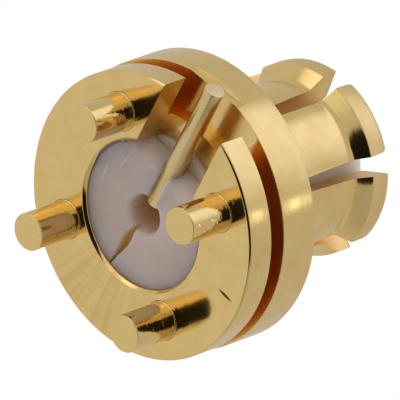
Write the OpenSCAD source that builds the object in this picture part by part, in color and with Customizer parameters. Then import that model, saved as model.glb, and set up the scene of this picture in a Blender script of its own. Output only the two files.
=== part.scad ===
// Straight coaxial board connector with a slotted spring-finger barrel.
// Sizes in millimetres. The origin is the middle of the board seating face,
// +Z runs along the coaxial axis to the mating end, the four board posts hang
// below z = 0, and +X is the side where the solder pin leaves the body.

/* [Flanges] */
// outside diameter of the rear flange
rear_flange_d = 4.75; // [4.3:0.05:6]
// outside diameter of the front flange
front_flange_d = 4.79; // [4.3:0.01:6]
// thickness of the rear flange, from the seating face
rear_flange_t = 0.495; // [0.46:0.005:0.8]
// width of the groove between the flanges
groove_w = 0.265; // [0.15:0.005:0.5]
// diameter at the floor of the groove
groove_floor_d = 3.2; // [2.8:0.05:3.8]
// thickness of the front flange
front_flange_t = 0.75; // [0.5:0.01:1.2]
// small edge break turned on the flange edges
edge_break = 0.03; // [0.01:0.005:0.06]

/* [Bore] */
// rear bore that holds the insulator shoulder
rear_bore_d = 2.46; // [2.3:0.01:2.6]
// depth of the rear bore
rear_bore_depth = 1.25; // [0.9:0.05:1.45]
// bore through the finger barrel
front_bore_d = 2; // [1.9:0.01:2.2]
// edge break at the mouth of the rear bore
bore_break = 0.05; // [0.01:0.005:0.08]

/* [Pin slot] */
// width of the slot cut through the rear flange for the solder pin
pin_slot_w = 1.4; // [1:0.02:1.5]
// turn of the small flat on the front flange from +X, in degrees
relief_turn = -8; // [-20:1:10]
// height of that flat along the axis, from the groove
relief_h = 0.14; // [0.05:0.01:0.4]
// depth of the flat below the rim
relief_in = 0.066; // [0.02:0.002:0.1]

/* [Spring fingers] */
// number of fingers
finger_count = 6; // [4:1:8]
// turn of the first slot from +X, in degrees
slot_turn = -7.6; // [-30:0.2:30]
// outside diameter of the barrel where it leaves the flange
root_d = 2.66; // [2.55:0.01:2.8]
// outside diameter of the barrel where the flare begins
neck_d = 2.78; // [2.7:0.01:2.9]
// outside diameter at the sharp edge of the lip
lip_d = 3.2; // [3.05:0.01:3.35]
// height of the finger tips above the seating face
tip_z = 4.14; // [3.8:0.02:5]
// length of the lip land behind the finger tips
lip_land = 0.4; // [0.2:0.01:0.5]
// length of the hollow flare behind the lip
flare_len = 0.5; // [0.3:0.02:0.7]
// share of the flare's length taken by its last, steep cone
flare_cone = 0.42; // [0.25:0.01:0.5]
// share of the flare's rise made by that cone
flare_cone_rise = 0.86; // [0.5:0.01:0.9]
// rounding of the finger tips, outside
tip_round = 0.1; // [0.04:0.01:0.15]
// rounding of the finger tips, inside
mouth_round = 0.3; // [0.05:0.01:0.32]
// inside diameter behind that rounding
mouth_d = 2.08; // [2.02:0.01:2.3]
// height of the slot roots above the front flange
slot_root_rise = 0.3; // [0.1:0.02:0.8]
// width of a slot at its root
slot_root_w = 0.19; // [0.08:0.01:0.25]
// width of a slot at the finger tips
slot_tip_w = 0.42; // [0.2:0.01:0.6]
// rounding of the finger corners beside the slots
corner_round = 0.2; // [0.02:0.01:0.25]

/* [Board posts] */
// spacing of the posts, both ways
post_pitch = 2.42; // [2.36:0.01:2.6]
// post diameter
post_d = 0.62; // [0.4:0.01:0.7]
// post length below the seating face
post_len = 0.86; // [0.5:0.02:2]
// depth of the post's shoulder in the rear flange
post_sink = 0.05; // [0.04:0.01:0.08]
// diameter of the spigot above the shoulder, pressed into the flange
post_spigot_d = 0.28; // [0.2:0.01:0.3]
// depth of the spigot's end in the rear flange
post_seat = 0.42; // [0.2:0.01:0.44]
// edge break on the post ends and at the mouths of their holes
post_break = 0.02; // [0.01:0.005:0.05]

/* [Solder pin] */
// pin diameter
pin_d = 0.33; // [0.2:0.01:0.36]
// height of the pin axis above the seating face
pin_z = 0.28; // [0.22:0.01:0.29]
// reach of the pin from the coaxial axis
pin_reach = 2.72; // [2.5:0.02:4]
// start of the pin beside the coaxial axis
pin_start = 0.12; // [0.05:0.01:0.2]
// edge break on the pin ends
pin_break = 0.015; // [0.005:0.005:0.03]

/* [Insulator] */
// recess of the insulator below the seating face
insulator_recess = 0.06; // [0.02:0.01:0.1]
// gap between the insulator face and the finger tips, along the axis
insulator_back = 0.04; // [0.02:0.01:0.6]
// distance of the step beside the pin from the axis
step_x = 1; // [0.7:0.02:1.1]
// width of the channel's mouth, where the insulator closes over the pin
channel_mouth_w = 0.22; // [0.16:0.01:0.3]
// turn of the slit away from the pin, from -X, in degrees
slit_turn = 7; // [-15:1:15]
// width that the slit would have on the axis
slit_w = 0.26; // [0.1:0.01:0.3]
// width of the slit where it ends outside the insulator
slit_end_w = 0.04; // [0.02:0.01:0.1]
// depth of the slit
slit_depth = 0.7; // [0.3:0.05:1]

/* [Centre contact] */
// outside diameter of the contact
contact_d = 0.64; // [0.56:0.01:0.7]
// bore of the socket, closed in to grip the mating pin
socket_d = 0.33; // [0.3:0.01:0.4]
// depth of the socket
socket_depth = 1.6; // [1:0.05:2]
// gap between the contact and the insulator face
contact_back = 0.1; // [0:0.01:0.3]
// depth of the contact's rear shoulder below the insulator's rear face
shoulder_drop = 0.75; // [0.5:0.05:1]
// inner face of the tang that carries the solder pin, from the axis
tang_x = 0.1; // [0.04:0.01:0.14]
// rise of the tang beside the pin
saddle_rise = 0.08; // [0.04:0.01:0.14]
// width of the cross slits in the socket
tine_slit_w = 0.08; // [0.05:0.01:0.12]
// length of the cross slits
tine_len = 1.1; // [0.6:0.05:1.5]

/* [Clearances] */
// gap all round between parts pressed or slid together
fit_gap = 0.004; // [0.002:0.001:0.01]
// gap at each side of the solder pin in its channel
pin_gap = 0.012; // [0.005:0.001:0.03]

/* [Hidden] */
$fn = 96;
// overshoot of cutting shapes
cut = 0.2;
rear_flange_r = rear_flange_d / 2;
front_flange_r = front_flange_d / 2;
groove_r = groove_floor_d / 2;
front_z0 = rear_flange_t + groove_w;
front_z1 = front_z0 + front_flange_t;
rear_bore_r = rear_bore_d / 2;
front_bore_r = front_bore_d / 2;
mouth_r = mouth_d / 2;
root_r = root_d / 2;
neck_r = neck_d / 2;
lip_r = lip_d / 2;
lip_z = tip_z - lip_land;
neck_z = lip_z - flare_len;
// two waypoints give the flare its hollow shape
flare_r2 = lip_r - flare_cone_rise * (lip_r - neck_r);
flare_z2 = lip_z - flare_cone * flare_len;
// share of the rise below the cone that is made in its first half
early_rise = 1 / 3;
flare_r1 = neck_r + early_rise * (flare_r2 - neck_r);
flare_z1 = (neck_z + flare_z2) / 2;
// turn from point to point round a finger corner, in degrees
corner_step = 18;
// how far the middle of a rounded tip stays from both of its sides, outside and inside
tip_in = tip_round * (1 - cos(45));
mouth_in = mouth_round * (1 - cos(45));
slot_root_z = front_z1 + slot_root_rise;
bore_z = rear_bore_depth;
// the inside of the fingers opens from here to the mouth
open_z = slot_root_z;
post_at = post_pitch / 2;
post_r = post_d / 2;
spigot_r = post_spigot_d / 2;
pin_r = pin_d / 2;
insulator_front = tip_z - insulator_back;
shoulder_r = rear_bore_r - fit_gap;
core_r = front_bore_r - fit_gap;
channel_r = pin_r + pin_gap;
channel_floor = pin_z + channel_r;
contact_r = contact_d / 2;
contact_hole_r = contact_r + fit_gap;
contact_front = insulator_front - contact_back;
contact_rear = pin_z + pin_r - saddle_rise;
contact_shoulder = insulator_recess + shoulder_drop;
// growth of half a finger slot's width along the axis
slot_slope = (slot_tip_w - slot_root_w) / 2 / (tip_z - slot_root_z);
gold = [0.83, 0.68, 0.36];
ptfe = [0.93, 0.92, 0.9];

// outside of the turned body, from the bore edge round to the mouth
module body_profile() {
    polygon([
        [front_bore_r, bore_z],
        [rear_bore_r, bore_z],
        [rear_bore_r, bore_break],
        [rear_bore_r + bore_break, 0],
        [rear_flange_r - edge_break, 0],
        [rear_flange_r, edge_break],
        [rear_flange_r, rear_flange_t],
        [groove_r, rear_flange_t],
        [groove_r, front_z0],
        [front_flange_r, front_z0],
        [front_flange_r, front_z1 - edge_break],
        [front_flange_r - edge_break, front_z1],
        [root_r, front_z1],
        [neck_r, neck_z],
        [flare_r1, flare_z1],
        [flare_r2, flare_z2],
        [lip_r, lip_z],
        [lip_r, tip_z - tip_round],
        [lip_r - tip_in, tip_z - tip_in],
        [lip_r - tip_round, tip_z],
        [mouth_r + mouth_round, tip_z],
        [mouth_r + mouth_in, tip_z - mouth_in],
        [mouth_r, tip_z - mouth_round],
        [front_bore_r, open_z]
    ]);
}

// one side of a finger slot, wider at the tips and rounded out at the finger corners
module half_slot() {
    corner_z = tip_z - corner_round;
    corner_y = slot_root_w / 2 + slot_slope * (corner_z - slot_root_z) + corner_round;
    polygon(concat(
        [[0, slot_root_z], [slot_root_w / 2, slot_root_z]],
        [for (a = [0 : corner_step : 90])
            [corner_y - corner_round * cos(a), corner_z + corner_round * sin(a)]],
        [[corner_y, tip_z + cut], [0, tip_z + cut]]
    ));
}

// one finger slot, cut outwards from the axis along +X
module finger_slot() {
    rotate([90, 0, 90])
        linear_extrude(height = lip_r + cut) {
            half_slot();
            mirror([1, 0])
                half_slot();
        }
}

// places its child on the four post centres
module at_post(sx, sy) {
    translate([sx * post_at, sy * post_at, 0])
        children();
}

// stepped hole for a post, with a broken edge at the seating face
module post_hole() {
    hole_r = post_r + fit_gap;
    translate([0, 0, -cut])
        cylinder(r = spigot_r + fit_gap, h = cut + post_seat + fit_gap);
    translate([0, 0, -cut])
        cylinder(r = hole_r, h = cut + post_sink + fit_gap);
    translate([0, 0, -post_break])
        cylinder(r1 = hole_r + 2 * post_break, r2 = hole_r, h = 2 * post_break);
}

module body() {
    color(gold)
        difference() {
            rotate_extrude()
                body_profile();
            for (i = [0 : finger_count - 1])
                rotate([0, 0, slot_turn + i * 360 / finger_count])
                    finger_slot();
            // way out for the solder pin
            translate([0, -pin_slot_w / 2, -cut])
                cube([rear_flange_r + cut, pin_slot_w, rear_flange_t + cut]);
            // flat on the rear edge of the front flange, beside the pin
            rotate([0, 0, relief_turn])
                translate([front_flange_r - relief_in, -front_flange_r / 2, front_z0 - groove_w / 2])
                    cube([relief_in + cut, front_flange_r, relief_h + groove_w / 2]);
            for (sx = [-1, 1])
                for (sy = [-1, 1])
                    at_post(sx, sy)
                        post_hole();
        }
}

// one board post with its spigot, outer end broken
module post() {
    cylinder(r = spigot_r, h = post_seat);
    translate([0, 0, -post_len + post_break])
        cylinder(r = post_r, h = post_len + post_sink - post_break);
    translate([0, 0, -post_len])
        cylinder(r1 = post_r - post_break, r2 = post_r, h = post_break);
}

module board_post_1() {
    color(gold)
        at_post(1, -1)
            post();
}

module board_post_2() {
    color(gold)
        at_post(1, 1)
            post();
}

module board_post_3() {
    color(gold)
        at_post(-1, -1)
            post();
}

module board_post_4() {
    color(gold)
        at_post(-1, 1)
            post();
}

module insulator() {
    color(ptfe)
        difference() {
            union() {
                translate([0, 0, insulator_recess])
                    cylinder(r = shoulder_r, h = bore_z - fit_gap - insulator_recess);
                translate([0, 0, bore_z - 2 * cut])
                    cylinder(r = core_r, h = insulator_front - bore_z + 2 * cut);
            }
            translate([0, 0, -cut])
                cylinder(r = contact_hole_r, h = insulator_front + 2 * cut);
            // round channel for the solder pin, with a narrower mouth
            translate([0, 0, pin_z])
                rotate([0, 90, 0])
                    cylinder(r = channel_r, h = rear_bore_r + cut);
            translate([0, -channel_mouth_w / 2, -cut])
                cube([rear_bore_r + cut, channel_mouth_w, pin_z + cut]);
            // step in line with the slot in the flange
            translate([step_x, -rear_bore_r, -cut])
                cube([rear_bore_r, rear_bore_d, channel_floor + cut]);
            // slit away from the pin, narrower to the outside
            rotate([0, 0, slit_turn])
                translate([0, 0, -cut])
                    linear_extrude(height = insulator_recess + slit_depth + cut)
                        polygon([
                            [0, slit_w / 2],
                            [-rear_bore_r - cut, slit_end_w / 2],
                            [-rear_bore_r - cut, -slit_end_w / 2],
                            [0, -slit_w / 2]
                        ]);
        }
}

module center_contact() {
    color(gold)
        difference() {
            translate([0, 0, contact_rear])
                cylinder(r = contact_r, h = contact_front - contact_rear);
            translate([0, 0, contact_front - socket_depth])
                cylinder(d = socket_d, h = socket_depth + cut);
            // cross slits that make the socket springy
            for (turn = [0, 90])
                rotate([0, 0, turn])
                    translate([-contact_d, -tine_slit_w / 2, contact_front - tine_len])
                        cube([2 * contact_d, tine_slit_w, tine_len + cut]);
            // the rear end is cut back to a tang under the solder pin
            translate([-contact_d, -contact_d, contact_rear - cut])
                cube([contact_d + tang_x, 2 * contact_d, contact_shoulder - contact_rear + cut]);
            // saddle for the inner end of the solder pin
            translate([pin_start - fit_gap, 0, pin_z])
                rotate([0, 90, 0])
                    cylinder(r = pin_r + fit_gap, h = contact_d);
        }
}

module signal_pin() {
    color(gold)
        translate([pin_start, 0, pin_z])
            rotate([0, 90, 0]) {
                pin_len = pin_reach - pin_start;
                cylinder(r1 = pin_r - pin_break, r2 = pin_r, h = pin_break);
                translate([0, 0, pin_break])
                    cylinder(r = pin_r, h = pin_len - 2 * pin_break);
                translate([0, 0, pin_len - pin_break])
                    cylinder(r1 = pin_r, r2 = pin_r - pin_break, h = pin_break);
            }
}

body();
board_post_1();
board_post_2();
board_post_3();
board_post_4();
insulator();
center_contact();
signal_pin();
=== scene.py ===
"""Looks of the coaxial board connector.

Pieces are modelled in millimetres in the frame of the part's source and brought to metres at
the end. The origin is the middle of the board seating face and +Z runs to the mating end.
"""
import math

import bmesh
import bpy
from mathutils import Matrix, Vector


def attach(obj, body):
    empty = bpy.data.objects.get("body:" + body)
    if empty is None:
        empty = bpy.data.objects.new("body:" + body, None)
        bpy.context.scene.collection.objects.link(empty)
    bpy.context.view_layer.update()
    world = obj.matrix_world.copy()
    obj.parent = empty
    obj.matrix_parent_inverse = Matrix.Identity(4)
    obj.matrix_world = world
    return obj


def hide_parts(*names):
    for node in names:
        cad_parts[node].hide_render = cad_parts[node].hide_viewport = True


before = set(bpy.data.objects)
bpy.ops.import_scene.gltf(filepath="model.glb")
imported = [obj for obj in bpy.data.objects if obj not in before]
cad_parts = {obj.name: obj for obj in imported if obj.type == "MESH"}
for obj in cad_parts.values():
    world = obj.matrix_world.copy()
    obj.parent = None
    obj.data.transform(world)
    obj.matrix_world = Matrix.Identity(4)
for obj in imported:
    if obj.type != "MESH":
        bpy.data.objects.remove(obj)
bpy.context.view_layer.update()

MM = 0.001

# ---------------------------------------------------------------- sizes, in millimetres

# flanges, groove and bores
REAR_FLANGE_R, FRONT_FLANGE_R = 2.375, 2.395
REAR_FLANGE_T, FRONT_Z0, FRONT_Z1 = 0.495, 0.76, 1.51
GROOVE_R, EDGE_BREAK = 1.6, 0.03
REAR_BORE_R, REAR_BORE_Z, FRONT_BORE_R, BORE_BREAK = 1.23, 1.25, 1.0, 0.05
# slot for the pin, and the small flat beside it on the front flange
PIN_SLOT_W = 1.4
RELIEF_TURN, RELIEF_H, RELIEF_IN = -8, 0.14, 0.066
# spring fingers; the flare starts a little further back than in the source, the tips' outer
# edge is rounder and the corners are less round, as in the photograph
FINGERS, SLOT_TURN = 6, -7.6
ROOT_R, NECK_R, LIP_R, MOUTH_R = 1.33, 1.39, 1.6, 1.04
NECK_Z, LIP_Z, TIP_Z, SLOT_ROOT_Z = 3.24, 3.74, 4.14, 1.81
FLARE_R1, FLARE_Z1, FLARE_R2, FLARE_Z2 = 1.385, 3.36, 1.378, 3.475
# rings that hold the flare's shading straight, as shares of its length
FLARE_HOLD = (0.5, 0.9)
# the saw cuts start inside the fingers' bore and widen to the tips
SLOT_FROM_R, SLOT_ROOT_W, SLOT_TIP_W = 0.9, 0.19, 0.42
CORNER_ROUND, CORNER_STEPS = 0.14, 5
# they stand a little unevenly: turn in degrees and change of width at the tip
SLOT_SHIFT = ((1.4, -0.085), (-1.2, -0.07), (0, 0), (0, 0), (0, 0), (0, 0))
# roundings of the body's turned outline
FINE_ROUND, GROOVE_ROUND, RIM_ROUND, ROOT_ROUND = 0.01, 0.014, 0.012, 0.03
NECK_ROUND, FLARE_ROUND_1, FLARE_ROUND_2 = 0.25, 0.06, 0.08
TIP_ROUND, MOUTH_ROUND = 0.13, 0.3
# board posts, each with a spigot in the flange and a thin bead of plating at its foot
POST_AT, POST_R, POST_LEN, POST_BREAK = 1.21, 0.31, 0.86, 0.02
POST_SINK, SPIGOT_R, SPIGOT_Z = 0.05, 0.14, 0.42
BEAD, BEAD_CREST_Z = 0.018, 0.002
BEAD_FOOT_ROUND, BEAD_CREST_ROUND, BEAD_INNER_ROUND = 0.006, 0.008, 0.004
# solder pin; its inner end lies further out than in the source, as in the photograph
PIN_R, PIN_Z, PIN_START, PIN_REACH, PIN_BREAK = 0.165, 0.28, 0.12, 2.72, 0.015
PIN_INNER = 0.2
# insulator: a hole with a worn mouth, and a channel for the pin
INSULATOR_Z0, INSULATOR_Z1, HOLE_MOUTH = 0.06, 4.1, 0.09
INSULATOR_ROUND, SHOULDER_ROUND = 0.03, 0.02
CHANNEL_FROM, CHANNEL_MOUTH_W = 0.01, 0.22
# the step by the channel slopes off over a length and a depth
STEP_X, STEP_SLOPE, STEP_FALL, SLOPE_STEPS = 1.0, 0.22, 0.36, 10
# the slit shows no cut down the wall of the hole, so it is shallower than in the source
SLIT_TURN, SLIT_DEPTH = 7, 0.2
# half widths of the slit from the hole outwards: (radius, half width)
SLIT_EDGE = (
    (0.2, 0.03),
    (0.4, 0.05),
    (0.5, 0.08),
    (0.64, 0.092),
    (0.8, 0.075),
    (0.98, 0.04),
    (1.43, 0.012),
)
# burr: the insulator's edge has spread over the bore's broken edge. It runs clockwise from a
# turn over a span, and its far end dies away in narrow bands, all in degrees. A band takes
# in a hair more, so that the last row of points counts.
BURR_FROM, BURR_SPAN, BURR_STEPS = -36, 62, 40
BURR_BANDS, BURR_BAND, HAIR = 8, 3, 0.01
BURR_IN, BURR_SINK, BURR_ROOT_IN, BURR_ROOT_Z = 0.15, 0.003, 0.035, 0.095
BURR_TIP_IN, BURR_TIP_Z, BURR_END_IN, BURR_END_Z = 0.02, 0.008, 0.02, 0.085
# socket contact
CONTACT_R, CONTACT_Z0, CONTACT_Z1 = 0.32, 0.365, 4.0
SHOULDER_Z, TANG_X = 0.81, 0.1
SOCKET_R, SOCKET_DEPTH, TINE_SLIT_W, TINE_LEN = 0.165, 1.6, 0.08, 1.1
SOCKET_MOUTH, CONTACT_NOSE, CONTACT_ROUND = 0.03, 0.04, 0.02
# gaps between pieces
FIT_GAP, PIN_GAP = 0.004, 0.012
CHANNEL_FLOOR = PIN_Z + PIN_R + PIN_GAP
# how far a cutter stands past what it cuts
CUT = 0.2
# points this close are the same, and points this close after the cuts are welded
SAME, WELD = 1e-5, 0.0015
# outlines of solid pieces start this near the axis and are closed after turning
AXIS_R = 0.0005
# steps round the turned pieces, sides of a round bar, and steps of a rounded corner
BODY_STEPS, INSULATOR_STEPS, SMALL_STEPS, ROD_SIDES, ROUND_STEPS = 360, 240, 128, 96, 4
# edges that turn by less than this are shaded smooth, in degrees
SMOOTH_BELOW = 32
# finishes of the body, by the number of their material slot
TURNED, FACED, FLARED, SAWN, GROOVE_SHADED, RUBBED = range(6)


# ---------------------------------------------------------------- modelling by hand


def only(obj):
    """Makes one object the only selected one."""
    bpy.ops.object.select_all(action="DESELECT")
    bpy.context.view_layer.objects.active = obj
    obj.select_set(True)


def start(obj):
    """Opens one object for editing."""
    only(obj)
    bpy.ops.object.mode_set(mode="EDIT")


def done():
    """Closes the object that is being edited."""
    bpy.ops.object.mode_set(mode="OBJECT")


def pick(obj, what, test):
    """Selects the vertices, edges or faces of the edited mesh that pass a test."""
    bpy.ops.mesh.select_mode(type={"verts": "VERT", "edges": "EDGE", "faces": "FACE"}[what])
    bpy.ops.mesh.select_all(action="DESELECT")
    mesh = bmesh.from_edit_mesh(obj.data)
    for item in getattr(mesh, what):
        if test(item):
            item.select_set(True)
    mesh.select_flush_mode()
    bmesh.update_edit_mesh(obj.data)


def tidy_shell():
    """Merges doubles and turns the faces outwards."""
    bpy.ops.mesh.select_all(action="SELECT")
    bpy.ops.mesh.remove_doubles(threshold=SAME)
    bpy.ops.mesh.select_all(action="SELECT")
    bpy.ops.mesh.normals_make_consistent(inside=False)


def soft_corners(corners):
    """Outline points from (radius, height, rounding) corners of a closed loop."""
    points = []
    count = len(corners)
    for i, (r, z, rounding) in enumerate(corners):
        here = Vector((r, z))
        if rounding == 0:
            points.append(here)
            continue
        before = Vector(corners[i - 1][:2]) - here
        after = Vector(corners[(i + 1) % count][:2]) - here
        a = here + before.normalized() * min(rounding, before.length / 2)
        b = here + after.normalized() * min(rounding, after.length / 2)
        for k in range(ROUND_STEPS + 1):
            t = k / ROUND_STEPS
            points.append((1 - t) ** 2 * a + 2 * t * (1 - t) * here + t * t * b)
    return points


def drawn(name, points):
    """A closed line drawn point by point from one vertex, left open for editing."""
    bpy.ops.object.select_all(action="DESELECT")
    bpy.ops.mesh.primitive_plane_add(size=0.1, location=points[0])
    obj = bpy.context.object
    obj.name = obj.data.name = name
    bpy.ops.object.transform_apply(location=True)
    bpy.ops.object.mode_set(mode="EDIT")
    bpy.ops.mesh.select_mode(type="VERT")
    bpy.ops.mesh.select_all(action="SELECT")
    bpy.ops.mesh.merge(type="CENTER")
    for a, b in zip(points, points[1:]):
        bpy.ops.mesh.extrude_region_move(TRANSFORM_OT_translate={"value": b - a})
    ends = {0, len(points) - 1}
    pick(obj, "verts", lambda v: v.index in ends)
    bpy.ops.mesh.edge_face_add()
    bpy.ops.mesh.select_all(action="SELECT")
    return obj


def pushed(name, points, way):
    """A solid with a drawn outline, extruded one way."""
    obj = drawn(name, points)
    bpy.ops.mesh.edge_face_add()
    bpy.ops.mesh.extrude_region_move(TRANSFORM_OT_translate={"value": way})
    tidy_shell()
    done()
    return obj


def turned(name, corners, steps):
    """A piece turned about Z: its outline is drawn and spun."""
    obj = drawn(name, [Vector((r, 0, z)) for r, z in soft_corners(corners)])
    bpy.ops.mesh.spin(steps=steps, angle=2 * math.pi, center=(0, 0, 0), axis=(0, 0, 1))
    tidy_shell()
    done()
    return obj


def close_axis(obj):
    """Closes the hair-thin hole that turning leaves on the axis of a solid piece."""
    start(obj)
    pick(obj, "verts", lambda v: v.co.xy.length < 2 * AXIS_R)
    bpy.ops.mesh.remove_doubles(threshold=3 * AXIS_R)
    tidy_shell()
    done()


def block(low, high):
    """A box between two corners."""
    low, high = Vector(low), Vector(high)
    bpy.ops.object.select_all(action="DESELECT")
    bpy.ops.mesh.primitive_cube_add(size=1, location=(low + high) / 2)
    obj = bpy.context.object
    obj.scale = high - low
    bpy.ops.object.transform_apply(location=True, rotation=True, scale=True)
    return obj


def rod(radius, low, high):
    """A round bar along Z between two heights."""
    bpy.ops.object.select_all(action="DESELECT")
    bpy.ops.mesh.primitive_cylinder_add(
        vertices=ROD_SIDES, radius=radius, depth=high - low, location=(0, 0, (low + high) / 2)
    )
    bpy.ops.object.transform_apply(location=True)
    return bpy.context.object


def step_out(obj, height, radius, new_radius, rise):
    """Draws the end face at a height out to a new radius and on by a rise."""
    pick(obj, "faces", lambda f: all(abs(v.co.z - height) < SAME for v in f.verts))
    share = new_radius / radius
    bpy.ops.mesh.extrude_region_move(TRANSFORM_OT_translate={"value": (0, 0, rise)})
    bpy.ops.transform.resize(value=(share, share, 1), center_override=(0, 0, height + rise))


def place(obj, location=(0, 0, 0), turn=None):
    """Turns and moves a finished shape, and keeps its place in its mesh."""
    only(obj)
    if turn:
        obj.rotation_euler = turn
    obj.location = location
    bpy.ops.object.transform_apply(location=True, rotation=True, scale=True)
    return obj


def cut_away(obj, cutters, operation="DIFFERENCE"):
    """Takes the cutters out of a piece, or adds them to it, and throws them away."""
    only(cutters[0])
    for cutter in cutters:
        cutter.select_set(True)
    bpy.ops.object.join()
    only(obj)
    bpy.ops.object.modifier_add(type="BOOLEAN")
    cutting = obj.modifiers[-1]
    cutting.operation = operation
    cutting.solver = "EXACT"
    cutting.object = cutters[0]
    bpy.ops.object.modifier_apply(modifier=cutting.name)
    bpy.data.objects.remove(cutters[0])


def weld(obj):
    """Joins the points that the cuts left next to each other."""
    start(obj)
    bpy.ops.mesh.select_all(action="SELECT")
    bpy.ops.mesh.remove_doubles(threshold=WELD)
    done()


def finish_piece(obj, node, materials, paint=None):
    """Smooth shading, finishes, millimetres to metres, and the piece's place in the frame."""
    only(obj)
    obj.data.materials.clear()
    for material in materials:
        obj.data.materials.append(material)
    if paint:
        for face in obj.data.polygons:
            face.material_index = paint(face)
    obj.scale = (MM, MM, MM)
    bpy.ops.object.transform_apply(location=True, rotation=True, scale=True)
    bpy.ops.object.shade_smooth_by_angle(angle=math.radians(SMOOTH_BELOW))
    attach(obj, "root")
    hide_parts(node)
    return obj


# ---------------------------------------------------------------- finishes

GOLD, GOLD_WARM = "#F4D693", "#EBC77C"
# nick on the seating face, painted as a dark spot of shade, 0.07 mm wide and 0.4 mm long: its
# middle and half sizes
NICK_AT, NICK_HALF_W, NICK_HALF_L = (0.141, 2.03, 0), 0.035, 0.2
# scratches on the insulator: along y = slope x + offset, from one x to another
SCRATCHES = ((0.167, -0.84, 0.1, 0.92), (-0.1, -0.99, -0.3, 0.35))
SCRATCH_HALF_W = 0.017


def colour(text):
    """Linear colour of an sRGB hex value."""
    parts = [int(text[i : i + 2], 16) / 255 for i in (1, 3, 5)]
    return [c / 12.92 if c <= 0.04045 else ((c + 0.055) / 1.055) ** 2.4 for c in parts] + [1]


def add(tree, kind, settings=None, inputs=None):
    """Adds one node with its settings, and sets or links its inputs."""
    node = tree.nodes.new("ShaderNode" + kind)
    for key, value in (settings or {}).items():
        setattr(node, key, value)
    for key, value in (inputs or {}).items():
        if isinstance(value, bpy.types.NodeSocket):
            tree.links.new(value, node.inputs[key])
        else:
            node.inputs[key].default_value = value
    return node


def blank(name):
    """A new material with only its output and one Principled shader."""
    material = bpy.data.materials.new(name)
    material.use_nodes = True
    tree = material.node_tree
    tree.nodes.clear()
    shader = add(tree, "BsdfPrincipled")
    add(tree, "OutputMaterial", None, {"Surface": shader.outputs[0]})
    return material, tree, shader


def gold(name, roughness, spread, lines, grain, stretch, tones=(GOLD, GOLD_WARM)):
    """Gold plating over turned brass: a warm metal under fine lathe lines and plating grain.

    lines gives the spacing in mm of the lines round the axis and their height in um, grain the
    size in mm of the grain and its height in um, spread the change of roughness from place to
    place, and stretch how far the lines draw a highlight out across themselves.
    """
    line_mm, line_um = lines
    grain_mm, grain_um = grain
    material, tree, shader = blank(name)
    place_in = add(tree, "TexCoord").outputs["Object"]
    mm = add(tree, "VectorMath", {"operation": "SCALE"}, {0: place_in, "Scale": 1 / MM})
    xyz = add(tree, "SeparateXYZ", None, {0: mm.outputs[0]})
    flat = add(tree, "CombineXYZ", None, {"X": xyz.outputs["X"], "Y": xyz.outputs["Y"]})
    radius = add(tree, "VectorMath", {"operation": "LENGTH"}, {0: flat.outputs[0]})
    angle = add(
        tree, "Math", {"operation": "ARCTAN2"}, {0: xyz.outputs["Y"], 1: xyz.outputs["X"]}
    )
    across = add(
        tree, "Math", {"operation": "ADD"}, {0: xyz.outputs["Z"], 1: radius.outputs["Value"]}
    )
    along = add(
        tree,
        "CombineXYZ",
        None,
        {"X": angle.outputs[0], "Y": across.outputs[0], "Z": xyz.outputs["Z"]},
    )
    # the lines run on for most of a radian before they change
    drawn_out = add(
        tree,
        "VectorMath",
        {"operation": "MULTIPLY"},
        {0: along.outputs[0], 1: (1.4, 1 / line_mm, 1 / line_mm)},
    )
    line_noise = add(
        tree, "TexNoise", None, {"Vector": drawn_out.outputs[0], "Scale": 1, "Detail": 2}
    )
    grain_noise = add(
        tree, "TexNoise", None, {"Vector": mm.outputs[0], "Scale": 1 / grain_mm, "Detail": 2}
    )
    # cloudy patches of handling, about half a millimetre across
    patches = add(tree, "TexNoise", None, {"Vector": mm.outputs[0], "Scale": 2.2, "Detail": 4})
    line_bump = add(
        tree,
        "Bump",
        None,
        {"Strength": 1, "Distance": line_um * 1e-6, "Height": line_noise.outputs["Fac"]},
    )
    grain_bump = add(
        tree,
        "Bump",
        None,
        {
            "Strength": 1,
            "Distance": grain_um * 1e-6,
            "Height": grain_noise.outputs["Fac"],
            "Normal": line_bump.outputs[0],
        },
    )
    rough = add(
        tree,
        "MapRange",
        None,
        {
            "Value": patches.outputs["Fac"],
            "From Min": 0.3,
            "From Max": 0.7,
            "To Min": roughness - spread,
            "To Max": roughness + spread,
        },
    )
    # the lines tint the metal only faintly
    faint = add(tree, "Math", {"operation": "MULTIPLY"}, {0: line_noise.outputs["Fac"], 1: 0.4})
    both = add(
        tree, "Math", {"operation": "ADD"}, {0: patches.outputs["Fac"], 1: faint.outputs[0]}
    )
    mottle = add(
        tree,
        "MapRange",
        None,
        {"Value": both.outputs[0], "From Min": 0.42, "From Max": 0.98, "To Min": 0, "To Max": 1},
    )
    tone = add(
        tree,
        "Mix",
        {"data_type": "RGBA"},
        {"Factor": mottle.outputs[0], "A": colour(tones[0]), "B": colour(tones[1])},
    )
    tangent = add(tree, "Tangent", {"direction_type": "RADIAL", "axis": "Z"})
    tree.links.new(tone.outputs["Result"], shader.inputs["Base Color"])
    tree.links.new(rough.outputs[0], shader.inputs["Roughness"])
    tree.links.new(grain_bump.outputs[0], shader.inputs["Normal"])
    tree.links.new(tangent.outputs[0], shader.inputs["Tangent"])
    shader.inputs["Metallic"].default_value = 1
    shader.inputs["Anisotropic"].default_value = stretch
    # a quarter turn, so that highlights run across the lines
    shader.inputs["Anisotropic Rotation"].default_value = 0.25
    return material


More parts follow.
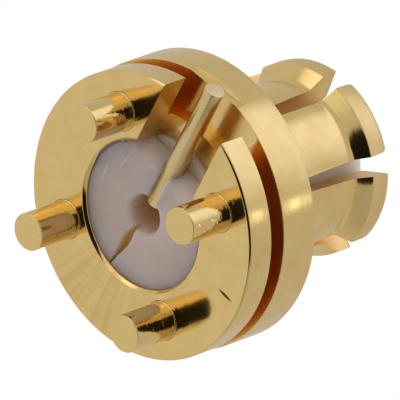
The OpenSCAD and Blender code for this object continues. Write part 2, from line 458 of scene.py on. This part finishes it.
def paint_face_fan_and_nick_shade(material):
    """Painted reflection and shade on the faced side: a fan of faint darker radial streaks on the
    far side, and one nick painted dark.
    """
    tree = material.node_tree
    shader = next(n for n in tree.nodes if n.bl_idname == "ShaderNodeBsdfPrincipled")
    plain = shader.inputs["Base Color"].links[0].from_socket
    place_in = add(tree, "TexCoord").outputs["Object"]
    mm = add(tree, "VectorMath", {"operation": "SCALE"}, {0: place_in, "Scale": 1 / MM})
    xyz = add(tree, "SeparateXYZ", None, {0: mm.outputs[0]})
    # measured from -X, so that the seam of the angle lies in the pin's slot
    back = add(tree, "Math", {"operation": "MULTIPLY"}, {0: xyz.outputs["X"], 1: -1})
    angle = add(tree, "Math", {"operation": "ARCTAN2"}, {0: xyz.outputs["Y"], 1: back.outputs[0]})
    # eleven streaks to the radian, five to ten degrees apart
    around = add(tree, "Math", {"operation": "MULTIPLY"}, {0: angle.outputs[0], 1: 11})
    fan = add(
        tree,
        "TexNoise",
        {"noise_dimensions": "1D"},
        {"W": around.outputs[0], "Scale": 1, "Detail": 2},
    )
    streaks = add(
        tree,
        "MapRange",
        None,
        {
            "Value": fan.outputs["Fac"],
            "From Min": 0.4,
            "From Max": 0.75,
            "To Min": 0,
            "To Max": 0.38,
        },
    )
    off = add(tree, "Math", {"operation": "ABSOLUTE"}, {0: angle.outputs[0]})
    sector = add(
        tree,
        "MapRange",
        {"interpolation_type": "SMOOTHSTEP"},
        {"Value": off.outputs[0], "From Min": 0.25, "From Max": 0.7, "To Min": 1, "To Max": 0.12},
    )
    share = add(
        tree, "Math", {"operation": "MULTIPLY"}, {0: streaks.outputs[0], 1: sector.outputs[0]}
    )
    # painted reflection: the fan that the faced rings give back is painted as darker streaks
    streaked = add(
        tree,
        "Mix",
        {"data_type": "RGBA"},
        {"Factor": share.outputs[0], "A": plain, "B": colour("#C79F56")},
    )
    # painted shade: the nick is painted dark brown in place of the shade in it
    from_nick = add(
        tree, "VectorMath", {"operation": "SUBTRACT"}, {0: mm.outputs[0], 1: NICK_AT}
    )
    in_nick = add(
        tree,
        "VectorMath",
        {"operation": "MULTIPLY"},
        {0: from_nick.outputs[0], 1: (1 / NICK_HALF_W, 1 / NICK_HALF_L, 0)},
    )
    away = add(tree, "VectorMath", {"operation": "LENGTH"}, {0: in_nick.outputs[0]})
    nick = add(
        tree,
        "MapRange",
        {"interpolation_type": "SMOOTHSTEP"},
        {"Value": away.outputs["Value"], "From Min": 0.4, "From Max": 1, "To Min": 1, "To Max": 0},
    )
    nick_shaded = add(
        tree,
        "Mix",
        {"data_type": "RGBA"},
        {"Factor": nick.outputs[0], "A": streaked.outputs["Result"], "B": colour("#4A2E0C")},
    )
    tree.links.new(nick_shaded.outputs["Result"], shader.inputs["Base Color"])


def polished_post():
    """Gold-plated post: a mirror broken up by turned rings and plating grain, most at its foot."""
    material, tree, shader = blank("gold_plated_polished_post")
    place_in = add(tree, "TexCoord").outputs["Object"]
    mm = add(tree, "VectorMath", {"operation": "SCALE"}, {0: place_in, "Scale": 1 / MM})
    xyz = add(tree, "SeparateXYZ", None, {0: mm.outputs[0]})
    # 22 rings to the millimetre, which wander on their way round every 0.1 mm
    ringed = add(
        tree, "VectorMath", {"operation": "MULTIPLY"}, {0: mm.outputs[0], 1: (9, 9, 22)}
    )
    rings = add(tree, "TexNoise", None, {"Vector": ringed.outputs[0], "Scale": 1, "Detail": 2})
    # grain of 0.05 mm, drawn coarser than it is, so that it shows
    grain = add(tree, "TexNoise", None, {"Vector": mm.outputs[0], "Scale": 20, "Detail": 3})
    # the grain gathers in specks, about 0.15 mm across
    clumps = add(tree, "TexNoise", None, {"Vector": mm.outputs[0], "Scale": 7, "Detail": 1})
    specks = add(
        tree,
        "MapRange",
        {"interpolation_type": "SMOOTHSTEP"},
        {
            "Value": clumps.outputs["Fac"],
            "From Min": 0.5,
            "From Max": 0.62,
            "To Min": 0.5,
            "To Max": 2.6,
        },
    )
    height = add(
        tree,
        "Math",
        {"operation": "MULTIPLY_ADD"},
        {0: grain.outputs["Fac"], 1: specks.outputs[0], 2: rings.outputs["Fac"]},
    )
    foot = add(
        tree,
        "MapRange",
        None,
        {
            "Value": xyz.outputs["Z"],
            "From Min": -0.6,
            "From Max": 0,
            "To Min": 0.45,
            "To Max": 1.3,
        },
    )
    swell = add(tree, "Math", {"operation": "MULTIPLY"}, {0: height.outputs[0], 1: foot.outputs[0]})
    bump = add(tree, "Bump", None, {"Strength": 1, "Distance": 1.6e-6, "Height": swell.outputs[0]})
    tone = add(
        tree,
        "Mix",
        {"data_type": "RGBA"},
        {"Factor": grain.outputs["Fac"], "A": colour(GOLD), "B": colour(GOLD_WARM)},
    )
    tree.links.new(tone.outputs["Result"], shader.inputs["Base Color"])
    tree.links.new(bump.outputs[0], shader.inputs["Normal"])
    shader.inputs["Metallic"].default_value = 1
    shader.inputs["Roughness"].default_value = 0.1
    return material


def fluoropolymer():
    """Machined PTFE: waxy milk white that lets light in, with painted light: browner deep in the
    gold bore and in the slit, paler at the open front.
    """
    material, tree, shader = blank("machined_white_ptfe")
    place_in = add(tree, "TexCoord").outputs["Object"]
    mm = add(tree, "VectorMath", {"operation": "SCALE"}, {0: place_in, "Scale": 1 / MM})
    xyz = add(tree, "SeparateXYZ", None, {0: mm.outputs[0]})
    # clouds of 0.4 mm, and cutting marks of 0.04 mm
    cloud = add(tree, "TexNoise", None, {"Vector": mm.outputs[0], "Scale": 2.5, "Detail": 4})
    fine = add(tree, "TexNoise", None, {"Vector": mm.outputs[0], "Scale": 28, "Detail": 3})
    # how far along X or Z each change of tone starts and ends, and its share there
    shares = {}
    for what, axis, low, high, at_low, at_high in (
        # painted bounce light: light that has been down in the bore comes back brown from the gold
        ("inwards", "Z", 0.16, 0.8, 0, 0.8),
        ("outwards", "Z", 1.1, 1.6, 1, 0),
        # painted shade warmed by the gold: the slit on the far side is painted brown at once below
        # the face
        ("below", "Z", 0.07, 0.13, 0, 0.9),
        ("far", "X", -0.42, -0.34, 1, 0),
        # painted light: the open front end between the fingers is painted paler than the rear
        ("front", "Z", 1.3, 1.9, 0, 1),
    ):
        share = add(
            tree,
            "MapRange",
            {"interpolation_type": "SMOOTHSTEP"},
            {
                "Value": xyz.outputs[axis],
                "From Min": low,
                "From Max": high,
                "To Min": at_low,
                "To Max": at_high,
            },
        )
        shares[what] = share.outputs[0]
    in_slit = add(tree, "Math", {"operation": "MULTIPLY"}, {0: shares["below"], 1: shares["far"]})
    slit = add(
        tree, "Math", {"operation": "MULTIPLY"}, {0: in_slit.outputs[0], 1: shares["outwards"]}
    )
    bore = add(
        tree, "Math", {"operation": "MULTIPLY"}, {0: shares["inwards"], 1: shares["outwards"]}
    )
    milk = add(
        tree,
        "Mix",
        {"data_type": "RGBA"},
        {"Factor": cloud.outputs["Fac"], "A": colour("#D8C0B6"), "B": colour("#E6D4CC")},
    )
    tone = milk.outputs["Result"]
    # painted light and shade: paler front, brown bore, and the slit a little redder than the bore
    for share, hue in (
        (shares["front"], "#F3E5D2"),
        (bore.outputs[0], "#FFDCB0"),
        (slit.outputs[0], "#F4CB9C"),
    ):
        tone = add(
            tree, "Mix", {"data_type": "RGBA"}, {"Factor": share, "A": tone, "B": colour(hue)}
        ).outputs["Result"]
    # pale scratches on the rear face
    for slope, offset, x_from, x_to in SCRATCHES:
        line = add(
            tree,
            "Math",
            {"operation": "MULTIPLY_ADD"},
            {0: xyz.outputs["X"], 1: -slope, 2: -offset},
        )
        beside = add(tree, "Math", {"operation": "ADD"}, {0: xyz.outputs["Y"], 1: line.outputs[0]})
        middle = add(
            tree,
            "Math",
            {"operation": "SUBTRACT"},
            {0: xyz.outputs["X"], 1: (x_from + x_to) / 2},
        )
        spot = add(tree, "CombineXYZ", None, {"X": middle.outputs[0], "Y": beside.outputs[0]})
        scaled = add(
            tree,
            "VectorMath",
            {"operation": "MULTIPLY"},
            {0: spot.outputs[0], 1: (2 / (x_to - x_from), 1 / SCRATCH_HALF_W, 0)},
        )
        away = add(tree, "VectorMath", {"operation": "LENGTH"}, {0: scaled.outputs[0]})
        scratch = add(
            tree,
            "MapRange",
            {"interpolation_type": "SMOOTHSTEP"},
            {
                "Value": away.outputs["Value"],
                "From Min": 0.2,
                "From Max": 1,
                "To Min": 0.6,
                "To Max": 0,
            },
        )
        tone = add(
            tree,
            "Mix",
            {"data_type": "RGBA"},
            {"Factor": scratch.outputs[0], "A": tone, "B": colour("#FBF4EE")},
        ).outputs["Result"]
    bump = add(tree, "Bump", None, {"Strength": 1, "Distance": 2e-6, "Height": fine.outputs["Fac"]})
    tree.links.new(tone, shader.inputs["Base Color"])
    tree.links.new(bump.outputs[0], shader.inputs["Normal"])
    shader.inputs["Roughness"].default_value = 0.42
    shader.inputs["IOR"].default_value = 1.36
    shader.inputs["Subsurface Weight"].default_value = 1
    # light goes about a millimetre deep, red furthest
    shader.inputs["Subsurface Radius"].default_value = (1.0, 0.88, 0.76)
    shader.inputs["Subsurface Scale"].default_value = 1.0 * MM
    return material


# faced on the lathe and plated: a mirror that still shows the posts, with faint circles
gold_faced = gold("gold_plated_faced_brass", 0.11, 0.03, (0.09, 0.5), (0.05, 0.12), 0.5)
# painted reflection and shade on the faced side: the fan of streaks and the dark nick
paint_face_fan_and_nick_shade(gold_faced)
# turned rims and fingers: satin, with lines round the axis that draw a highlight out along it;
# here and below, lines and grain are drawn coarser than they are, so that they show
gold_turned = gold("gold_plated_turned_brass", 0.2, 0.06, (0.05, 1.1), (0.06, 0.8), 0.6)
# flare behind the lip: burnished by its mate, so it mirrors sharply
gold_flare = gold("gold_plated_burnished_flare", 0.1, 0.02, (0.05, 0.25), (0.05, 0.15), 0.2)
# land in front of the lip: rubbed duller
gold_land = gold(
    "gold_plated_rubbed_lip", 0.36, 0.05, (0.04, 0.7), (0.05, 0.6), 0.2, ("#F0D191", "#EAC784")
)
# sawn slot walls and the inside of the fingers: duller, and painted warmer for the light bounced
# between them
gold_sawn = gold(
    "gold_plated_sawn_brass", 0.32, 0.05, (0.04, 1.2), (0.04, 0.8), 0.0, ("#F4D08A", "#EFBF70")
)
# bottom of the deep groove: painted shade, a darker and redder copy of the gold for the light that
# bounces down in it
gold_groove_shade = gold(
    "gold_plated_groove_painted_shade", 0.26, 0.04, (0.03, 0.8), (0.05, 0.5), 0.3, ("#EAB862", "#ECBE6B")
)
# solder pin: smooth satin
gold_pin = gold(
    "gold_plated_drawn_pin", 0.28, 0.04, (0.06, 0.3), (0.05, 0.4), 0.0, ("#E9D09A", "#E2C68A")
)
# the pin's sheared outer end: paler
gold_end = gold(
    "gold_plated_sheared_end", 0.34, 0.05, (0.06, 0.5), (0.05, 0.7), 0.0, ("#F8E4B8", "#F3DBA6")
)
# socket inside: satin
gold_contact = gold("gold_plated_contact", 0.28, 0.04, (0.04, 0.6), (0.04, 0.5), 0.2)
gold_post = polished_post()
ptfe = fluoropolymer()


# ---------------------------------------------------------------- pieces


def saw_cut(turn, wider):
    """Cutter for one saw cut: it widens to the tips and rounds their corners."""
    half_slope = (SLOT_TIP_W + wider - SLOT_ROOT_W) / 2 / (TIP_Z - SLOT_ROOT_Z)
    corner_z = TIP_Z - CORNER_ROUND
    corner_y = SLOT_ROOT_W / 2 + half_slope * (corner_z - SLOT_ROOT_Z) + CORNER_ROUND
    side = [(SLOT_ROOT_W / 2, SLOT_ROOT_Z)]
    for k in range(CORNER_STEPS + 1):
        bend = math.radians(90 * k / CORNER_STEPS)
        side.append(
            (corner_y - CORNER_ROUND * math.cos(bend), corner_z + CORNER_ROUND * math.sin(bend))
        )
    side.append((corner_y, TIP_Z + CUT))
    outline = side + [(-y, z) for y, z in reversed(side)]
    cutter = pushed(
        "saw_cut",
        [Vector((SLOT_FROM_R, y, z)) for y, z in outline],
        (LIP_R + CUT - SLOT_FROM_R, 0, 0),
    )
    return place(cutter, turn=(0, 0, math.radians(turn)))


def post_hole(x, y):
    """Cutter for a post's hole: broken edge, seat, and a narrower hole for its spigot."""
    hole_r, seat = POST_R + FIT_GAP, POST_SINK + FIT_GAP
    hole = rod(hole_r, POST_BREAK, seat)
    start(hole)
    step_out(hole, POST_BREAK, hole_r, hole_r + 2 * POST_BREAK, -2 * POST_BREAK)
    step_out(hole, -POST_BREAK, 1, 1, -CUT)
    step_out(hole, seat, hole_r, SPIGOT_R + FIT_GAP, 0)
    pick(
        hole,
        "faces",
        lambda f: f.normal.z > 0.9
        and all(v.co.xy.length < (SPIGOT_R + POST_R) / 2 for v in f.verts),
    )
    bpy.ops.mesh.extrude_region_move(
        TRANSFORM_OT_translate={"value": (0, 0, SPIGOT_Z - POST_SINK)}
    )
    tidy_shell()
    done()
    return place(hole, (x, y, 0))


def body_finish(face):
    """Which of the body's finishes a face has, by its place and the way it faces."""
    centre, normal = face.center, face.normal
    reach = centre.xy.length
    outward = normal.dot(Vector((centre.x, centre.y, 0)).normalized())
    # faces this near an edge belong to its rounding; the limits on outward and normal are cosines
    lip_edge, groove_edge = 0.004, 0.001
    if centre.z < BORE_BREAK and normal.z < -0.5 and reach > REAR_BORE_R:
        return FACED
    if FLARE_Z1 < centre.z < LIP_Z - lip_edge and outward > 0.3:
        return FLARED
    if centre.z > LIP_Z + lip_edge and outward > 0.3:
        return RUBBED
    in_groove = REAR_FLANGE_T - groove_edge < centre.z < FRONT_Z0 + groove_edge
    if in_groove and reach < FRONT_FLANGE_R - EDGE_BREAK:
        # painted light: the groove's faces open through the pin's slot take the paler turned gold,
        # the rest the painted shade of the groove
        return TURNED if centre.x > 0 and abs(centre.y) < PIN_SLOT_W / 2 else GROOVE_SHADED
    if outward > 0.5 or centre.z > TIP_Z - 0.1 or abs(normal.z) > 0.6:
        return TURNED
    return SAWN


def make_body():
    flare = [
        (FLARE_R2 + t * (LIP_R - FLARE_R2), FLARE_Z2 + t * (LIP_Z - FLARE_Z2), 0)
        for t in FLARE_HOLD
    ]
    body = turned(
        "body_turned",
        [
            (FRONT_BORE_R, REAR_BORE_Z, 0),
            (REAR_BORE_R, REAR_BORE_Z, 0),
            (REAR_BORE_R, BORE_BREAK, FINE_ROUND),
            (REAR_BORE_R + BORE_BREAK, 0, FINE_ROUND),
            (REAR_FLANGE_R - EDGE_BREAK, 0, FINE_ROUND),
            (REAR_FLANGE_R, EDGE_BREAK, FINE_ROUND),
            (REAR_FLANGE_R, REAR_FLANGE_T, GROOVE_ROUND),
            (GROOVE_R, REAR_FLANGE_T, 0),
            (GROOVE_R, FRONT_Z0, 0),
            (FRONT_FLANGE_R, FRONT_Z0, GROOVE_ROUND),
            (FRONT_FLANGE_R, FRONT_Z1 - EDGE_BREAK, RIM_ROUND),
            (FRONT_FLANGE_R - EDGE_BREAK, FRONT_Z1, RIM_ROUND),
            (ROOT_R, FRONT_Z1, ROOT_ROUND),
            (NECK_R, NECK_Z, NECK_ROUND),
            (FLARE_R1, FLARE_Z1, FLARE_ROUND_1),
            (FLARE_R2, FLARE_Z2, FLARE_ROUND_2),
            *flare,
            (LIP_R, LIP_Z, RIM_ROUND),
            (LIP_R, TIP_Z, TIP_ROUND),
            (MOUTH_R, TIP_Z, MOUTH_ROUND),
            (FRONT_BORE_R, SLOT_ROOT_Z, 0),
        ],
        BODY_STEPS,
    )
    cutters = [
        saw_cut(SLOT_TURN + shift + i * 360 / FINGERS, wider)
        for i, (shift, wider) in enumerate(SLOT_SHIFT)
    ]
    cutters.append(
        block(
            (0, -PIN_SLOT_W / 2, -CUT),
            (REAR_FLANGE_R + CUT, PIN_SLOT_W / 2, REAR_FLANGE_T + CUT / 2),
        )
    )
    flat = block(
        (FRONT_FLANGE_R - RELIEF_IN, -FRONT_FLANGE_R / 2, FRONT_Z0 - CUT / 2),
        (FRONT_FLANGE_R + CUT, FRONT_FLANGE_R / 2, FRONT_Z0 + RELIEF_H),
    )
    # the flat's upper end slopes out to the rim
    start(flat)
    pick(flat, "verts", lambda v: v.co.z > FRONT_Z0 and v.co.x > FRONT_FLANGE_R)
    bpy.ops.transform.translate(value=(0, 0, CUT / 2))
    done()
    cutters.append(place(flat, turn=(0, 0, math.radians(RELIEF_TURN))))
    for sx in (-1, 1):
        for sy in (-1, 1):
            cutters.append(post_hole(sx * POST_AT, sy * POST_AT))
    cut_away(body, cutters)
    weld(body)
    finishes = [gold_turned, gold_faced, gold_flare, gold_sawn, gold_groove_shade, gold_land]
    return finish_piece(body, "body", finishes, body_finish)


def make_post(index, sx, sy):
    post = turned(
        f"board_post_{index}_polished",
        [
            (AXIS_R, -POST_LEN, 0),
            (POST_R, -POST_LEN, POST_BREAK),
            # the plating has gathered in a thin bead where the post leaves its hole
            (POST_R, -POST_BREAK / 2, BEAD_FOOT_ROUND),
            (POST_R + BEAD, BEAD_CREST_Z, BEAD_CREST_ROUND),
            (POST_R, POST_BREAK, BEAD_INNER_ROUND),
            (POST_R, POST_SINK, 0),
            (SPIGOT_R, POST_SINK, 0),
            (SPIGOT_R, SPIGOT_Z, 0),
            (AXIS_R, SPIGOT_Z, 0),
        ],
        SMALL_STEPS,
    )
    close_axis(post)
    place(post, (sx * POST_AT, sy * POST_AT, 0))
    return finish_piece(post, f"board_post_{index}", [gold_post])


def make_pin():
    ends = (0, PIN_REACH - PIN_INNER)
    pin = rod(PIN_R, *ends)
    pin.name = pin.data.name = "signal_pin_drawn"
    start(pin)
    pick(
        pin,
        "edges",
        lambda e: any(all(abs(v.co.z - end) < SAME for v in e.verts) for end in ends),
    )
    bpy.ops.mesh.bevel(offset=PIN_BREAK, segments=ROUND_STEPS, affect="EDGES")
    tidy_shell()
    done()
    place(pin, (PIN_INNER, 0, PIN_Z), (0, math.pi / 2, 0))
    # the second finish is for the outer end
    return finish_piece(
        pin, "signal_pin", [gold_pin, gold_end], lambda face: int(face.normal.x > 0.9)
    )


def edge_burr(rim_r):
    """The part of the insulator's edge that has spread over the bore's broken edge."""
    tip_r = REAR_BORE_R + BORE_BREAK - BURR_TIP_IN
    profile = [
        (rim_r - BURR_IN, BURR_ROOT_Z),
        (rim_r - BURR_IN, INSULATOR_Z0 + BURR_SINK),
        (tip_r, BURR_TIP_Z),
        (rim_r - BURR_SINK, BORE_BREAK),
        (rim_r - BURR_ROOT_IN, BURR_ROOT_Z),
    ]
    burr = drawn("burr", [Vector((r, 0, z)) for r, z in profile])
    bpy.ops.mesh.edge_face_add()
    bpy.ops.mesh.spin(
        steps=BURR_STEPS, angle=math.radians(BURR_SPAN), center=(0, 0, 0), axis=(0, 0, 1)
    )
    tidy_shell()
    for k in range(BURR_BANDS):
        band_end = BURR_SPAN - k * BURR_BAND
        pick(
            burr,
            "verts",
            lambda v: v.co.z < (BORE_BREAK + INSULATOR_Z0) / 2
            and band_end - BURR_BAND < -math.degrees(math.atan2(v.co.y, v.co.x)) < band_end + HAIR,
        )
        left = (k + 0.5) / BURR_BANDS
        narrower = 1 - (1 - left) * (tip_r - rim_r + BURR_END_IN) / tip_r
        bpy.ops.transform.resize(
            value=(narrower, narrower, left), center_override=(0, 0, BURR_END_Z)
        )
    done()
    return place(burr, turn=(0, 0, math.radians(BURR_FROM)))


def make_insulator():
    hole_r = CONTACT_R + FIT_GAP
    rim_r = REAR_BORE_R - FIT_GAP
    core_r = FRONT_BORE_R - FIT_GAP
    shoulder_z = REAR_BORE_Z - FIT_GAP
    insulator = turned(
        "insulator_machined",
        [
            (hole_r, INSULATOR_Z0, HOLE_MOUTH),
            (rim_r, INSULATOR_Z0, INSULATOR_ROUND),
            (rim_r, shoulder_z, SHOULDER_ROUND),
            (core_r, shoulder_z, 0),
            (core_r, INSULATOR_Z1, INSULATOR_ROUND),
            (hole_r, INSULATOR_Z1, SHOULDER_ROUND),
        ],
        INSULATOR_STEPS,
    )
    cut_away(insulator, [edge_burr(rim_r)], "UNION")
    reach = REAR_BORE_R + CUT
    channel = rod(PIN_R + PIN_GAP, 0, reach)
    cut_away(insulator, [place(channel, (0, 0, PIN_Z), (0, math.pi / 2, 0))])
    sides = [(-r, half) for r, half in SLIT_EDGE] + [(-r, -half) for r, half in reversed(SLIT_EDGE)]
    slit = pushed(
        "slit",
        [Vector((x, y, -CUT)) for x, y in sides],
        (0, 0, CUT + INSULATOR_Z0 + SLIT_DEPTH),
    )
    place(slit, turn=(0, 0, math.radians(SLIT_TURN)))
    mouth = block(
        (CHANNEL_FROM, -CHANNEL_MOUTH_W / 2, -CUT), (STEP_X + CUT / 2, CHANNEL_MOUTH_W / 2, PIN_Z)
    )
    cut_away(insulator, [slit, mouth])
    # the step falls off in a soft slope; the cutter starts just clear of the end face
    slope = [(STEP_X - STEP_SLOPE, -CUT)]
    for k in range(SLOPE_STEPS + 1):
        bend = math.radians(90 * k / SLOPE_STEPS)
        slope.append(
            (
                STEP_X + STEP_SLOPE * (math.sin(bend) - 1),
                INSULATOR_Z0 - FIT_GAP + STEP_FALL * (1 - math.cos(bend)),
            )
        )
    slope += [(STEP_X, CHANNEL_FLOOR), (reach, CHANNEL_FLOOR), (reach, -CUT)]
    step = pushed("step", [Vector((x, -reach, z)) for x, z in slope], (0, 2 * reach, 0))
    cut_away(insulator, [step])
    weld(insulator)
    return finish_piece(insulator, "insulator", [ptfe])


def make_contact():
    contact = turned(
        "center_contact_turned",
        [
            (SOCKET_R, CONTACT_Z1 - SOCKET_DEPTH, 0),
            (SOCKET_R, CONTACT_Z1, SOCKET_MOUTH),
            (CONTACT_R, CONTACT_Z1, CONTACT_NOSE),
            (CONTACT_R, CONTACT_Z0, CONTACT_ROUND),
            (AXIS_R, CONTACT_Z0, 0),
            (AXIS_R, CONTACT_Z1 - SOCKET_DEPTH, 0),
        ],
        SMALL_STEPS,
    )
    close_axis(contact)
    # two slits across each other make four tines
    slit = TINE_SLIT_W / 2
    low, high = CONTACT_Z1 - TINE_LEN, CONTACT_Z1 + CUT
    cut_away(contact, [block((-1, -slit, low), (1, slit, high))])
    cut_away(contact, [block((-slit, -1, low), (slit, 1, high))])
    # the pin lies in a saddle on a tang
    saddle = rod(PIN_R + FIT_GAP, 0, 2 * CONTACT_R)
    place(saddle, (PIN_START - FIT_GAP, 0, PIN_Z), (0, math.pi / 2, 0))
    cut_away(contact, [saddle])
    cut_away(contact, [block((-1, -1, CONTACT_Z0 - CUT), (TANG_X, 1, SHOULDER_Z))])
    weld(contact)
    return finish_piece(contact, "center_contact", [gold_contact])


make_body()
for number, (side_x, side_y) in enumerate(((1, -1), (1, 1), (-1, -1), (-1, 1)), start=1):
    make_post(number, side_x, side_y)
make_pin()
make_insulator()
make_contact()


# ---------------------------------------------------------------- camera, stage and light

# camera axes in the part's frame: to the right, up, and back towards the camera
RIGHT = Vector((0.36271, 0.63350, 0.68346)).normalized()
BACK = Vector((0.60813, 0.39479, -0.68871)).normalized()
UP = BACK.cross(RIGHT).normalized()
# pixels to the millimetre in a frame of 400 pixels, and the point in its middle
SCALE_PX, FRAME_PX = 63.05, 400
AIM = (0.946 * RIGHT + 0.257 * UP) * MM
DISTANCE, SENSOR_MM, CLIP_NEAR, CLIP_FAR = 0.2, 36, 0.02, 5

bpy.ops.object.camera_add()
camera = bpy.context.object
camera.name = "photo_camera"
facing = Matrix((RIGHT, UP, BACK)).transposed().to_4x4()
camera.matrix_world = Matrix.Translation(AIM + BACK * DISTANCE) @ facing
camera.data.sensor_width = SENSOR_MM
camera.data.lens = SCALE_PX / MM * DISTANCE * SENSOR_MM / FRAME_PX
camera.data.clip_start = CLIP_NEAR
camera.data.clip_end = CLIP_FAR
bpy.context.scene.camera = camera

# the camera looks up at the seating side, so the pale floor lies well below it
FLOOR_R, FLOOR_Z, FLOOR_SIDES = 0.12, -0.4, 96
bpy.ops.object.select_all(action="DESELECT")
bpy.ops.mesh.primitive_circle_add(
    vertices=FLOOR_SIDES, radius=FLOOR_R, fill_type="NGON", location=(0, 0, FLOOR_Z)
)
floor = bpy.context.object
floor.name = "floor"
floor_finish, _, floor_shader = blank("pale_matt_board")
floor_shader.inputs["Base Color"].default_value = colour("#E6E6E4")
floor_shader.inputs["Roughness"].default_value = 0.8
floor.data.materials.append(floor_finish)


def light_tent():
    """Pale tent with a softbox up to the right and its dark opening round the camera."""
    world = bpy.data.worlds.new("light_tent")
    world.use_nodes = True
    tree = world.node_tree
    tree.nodes.clear()
    way = add(tree, "TexCoord").outputs["Generated"]
    softbox = (0.72 * RIGHT + 0.69 * UP - 0.05 * BACK).normalized()
    box_edge = (0.70 * RIGHT - 0.48 * UP + 0.52 * BACK).normalized()
    top_box = (0.33 * BACK + 0.82 * UP - 0.49 * RIGHT).normalized()
    upper_left = (0.67 * BACK + 0.5 * UP - 0.55 * RIGHT).normalized()
    low_front = (0.47 * BACK - 0.88 * UP).normalized()
    levels = []
    # each row: a direction, the cosines to it between which the level changes, and the levels
    for direction, low, high, at_low, at_high in (
        # tent wall, a little brighter to the left
        (RIGHT, -1, 0.2, 0.67, 0.57),
        # softbox and the edge that cuts it off, a box above, and light from the upper left
        (softbox, math.cos(math.radians(46)), 1, 0, 0.5),
        (box_edge, -0.17, 0.06, 0, 1),
        (top_box, math.cos(math.radians(18)), math.cos(math.radians(10)), 0, 0.45),
        (upper_left, math.cos(math.radians(38)), math.cos(math.radians(15)), 0, 0.25),
        # shade low in front
        (low_front, 0.75, 0.98, 1, 0.78),
        # five sides of the dark camera and its stand
        (RIGHT, 0.34, 0.38, 1, 0),
        (RIGHT, -0.46, -0.38, 0, 1),
        (0.46 * RIGHT + 0.89 * UP, 0.17, 0.24, 1, 0),
        (0.436 * RIGHT - 0.9 * UP, 0.67, 0.7, 1, 0),
        (BACK, 0.35, 0.45, 0, 1),
        # white backdrop
        (-BACK, math.cos(math.radians(8)), math.cos(math.radians(2)), 0, 1),
    ):
        toward = add(
            tree, "VectorMath", {"operation": "DOT_PRODUCT"}, {0: way, 1: tuple(direction)}
        )
        level = add(
            tree,
            "MapRange",
            {"interpolation_type": "SMOOTHSTEP"},
            {
                "Value": toward.outputs["Value"],
                "From Min": low,
                "From Max": high,
                "To Min": at_low,
                "To Max": at_high,
            },
        )
        levels.append(level.outputs[0])
    wall, box, edge, top, corner, shade, *dark_sides, backdrop = levels
    lit = add(tree, "Math", {"operation": "MULTIPLY_ADD"}, {0: box, 1: edge, 2: wall})
    for more in (top, corner):
        lit = add(tree, "Math", {"operation": "ADD"}, {0: lit.outputs[0], 1: more})
    dark = dark_sides[0]
    for side in dark_sides[1:]:
        dark = add(tree, "Math", {"operation": "MULTIPLY"}, {0: dark, 1: side}).outputs[0]
    # the dark opening still gives back a little light
    open_share = add(tree, "Math", {"operation": "MULTIPLY_ADD"}, {0: dark, 1: -0.985, 2: 1})
    shaded = add(tree, "Math", {"operation": "MULTIPLY"}, {0: lit.outputs[0], 1: shade})
    tent = add(
        tree, "Math", {"operation": "MULTIPLY"}, {0: shaded.outputs[0], 1: open_share.outputs[0]}
    )
    # the white backdrop: all that the camera sees past the part, and what lies behind the part
    # in its mirror faces
    ray = add(tree, "LightPath").outputs
    mirrored = add(
        tree, "Math", {"operation": "ADD"}, {0: ray["Is Glossy Ray"], 1: ray["Is Transmission Ray"]}
    )
    white = add(
        tree,
        "Math",
        {"operation": "MULTIPLY_ADD", "use_clamp": True},
        {0: mirrored.outputs[0], 1: backdrop, 2: ray["Is Camera Ray"]},
    )
    strength = add(
        tree,
        "Mix",
        {"data_type": "FLOAT"},
        {"Factor": white.outputs[0], "A": tent.outputs[0], "B": 1.0},
    )
    # the softbox is cooler than the tent, which pales the gold in its highlights
    cool = add(tree, "Math", {"operation": "MULTIPLY", "use_clamp": True}, {0: box, 1: edge})
    cooler = add(
        tree, "Math", {"operation": "MULTIPLY", "use_clamp": True}, {0: cool.outputs[0], 1: 2.2}
    )
    seen = add(
        tree,
        "Math",
        {"operation": "SUBTRACT", "use_clamp": True},
        {0: cooler.outputs[0], 1: white.outputs[0]},
    )
    tint = add(
        tree,
        "Mix",
        {"data_type": "RGBA"},
        {"Factor": seen.outputs[0], "A": (1, 1, 1, 1), "B": (0.96, 0.99, 1.2, 1)},
    )
    back = add(
        tree,
        "Background",
        None,
        {"Color": tint.outputs["Result"], "Strength": strength.outputs["Result"]},
    )
    add(tree, "OutputWorld", None, {"Surface": back.outputs[0]})
    return world


# small lamp straight to the right: the bright spot on both rims
LAMP_WAY, LAMP_AWAY, LAMP_ACROSS, LAMP_WATTS = RIGHT - 0.04 * UP, 0.3, 0.035, 0.006
bpy.ops.object.light_add(type="AREA", location=LAMP_WAY.normalized() * LAMP_AWAY)
lamp = bpy.context.object
lamp.name = "side_lamp"
lamp.rotation_euler = LAMP_WAY.to_track_quat("Z", "Y").to_euler()
lamp.data.shape = "DISK"
lamp.data.size = LAMP_ACROSS
lamp.data.energy = LAMP_WATTS
lamp.visible_camera = False

scene = bpy.context.scene
scene.world = light_tent()
scene.view_settings.view_transform = "Standard"
# gold in the deep groove takes its red-brown from many bounces
scene.cycles.max_bounces = 24
scene.cycles.glossy_bounces = 24
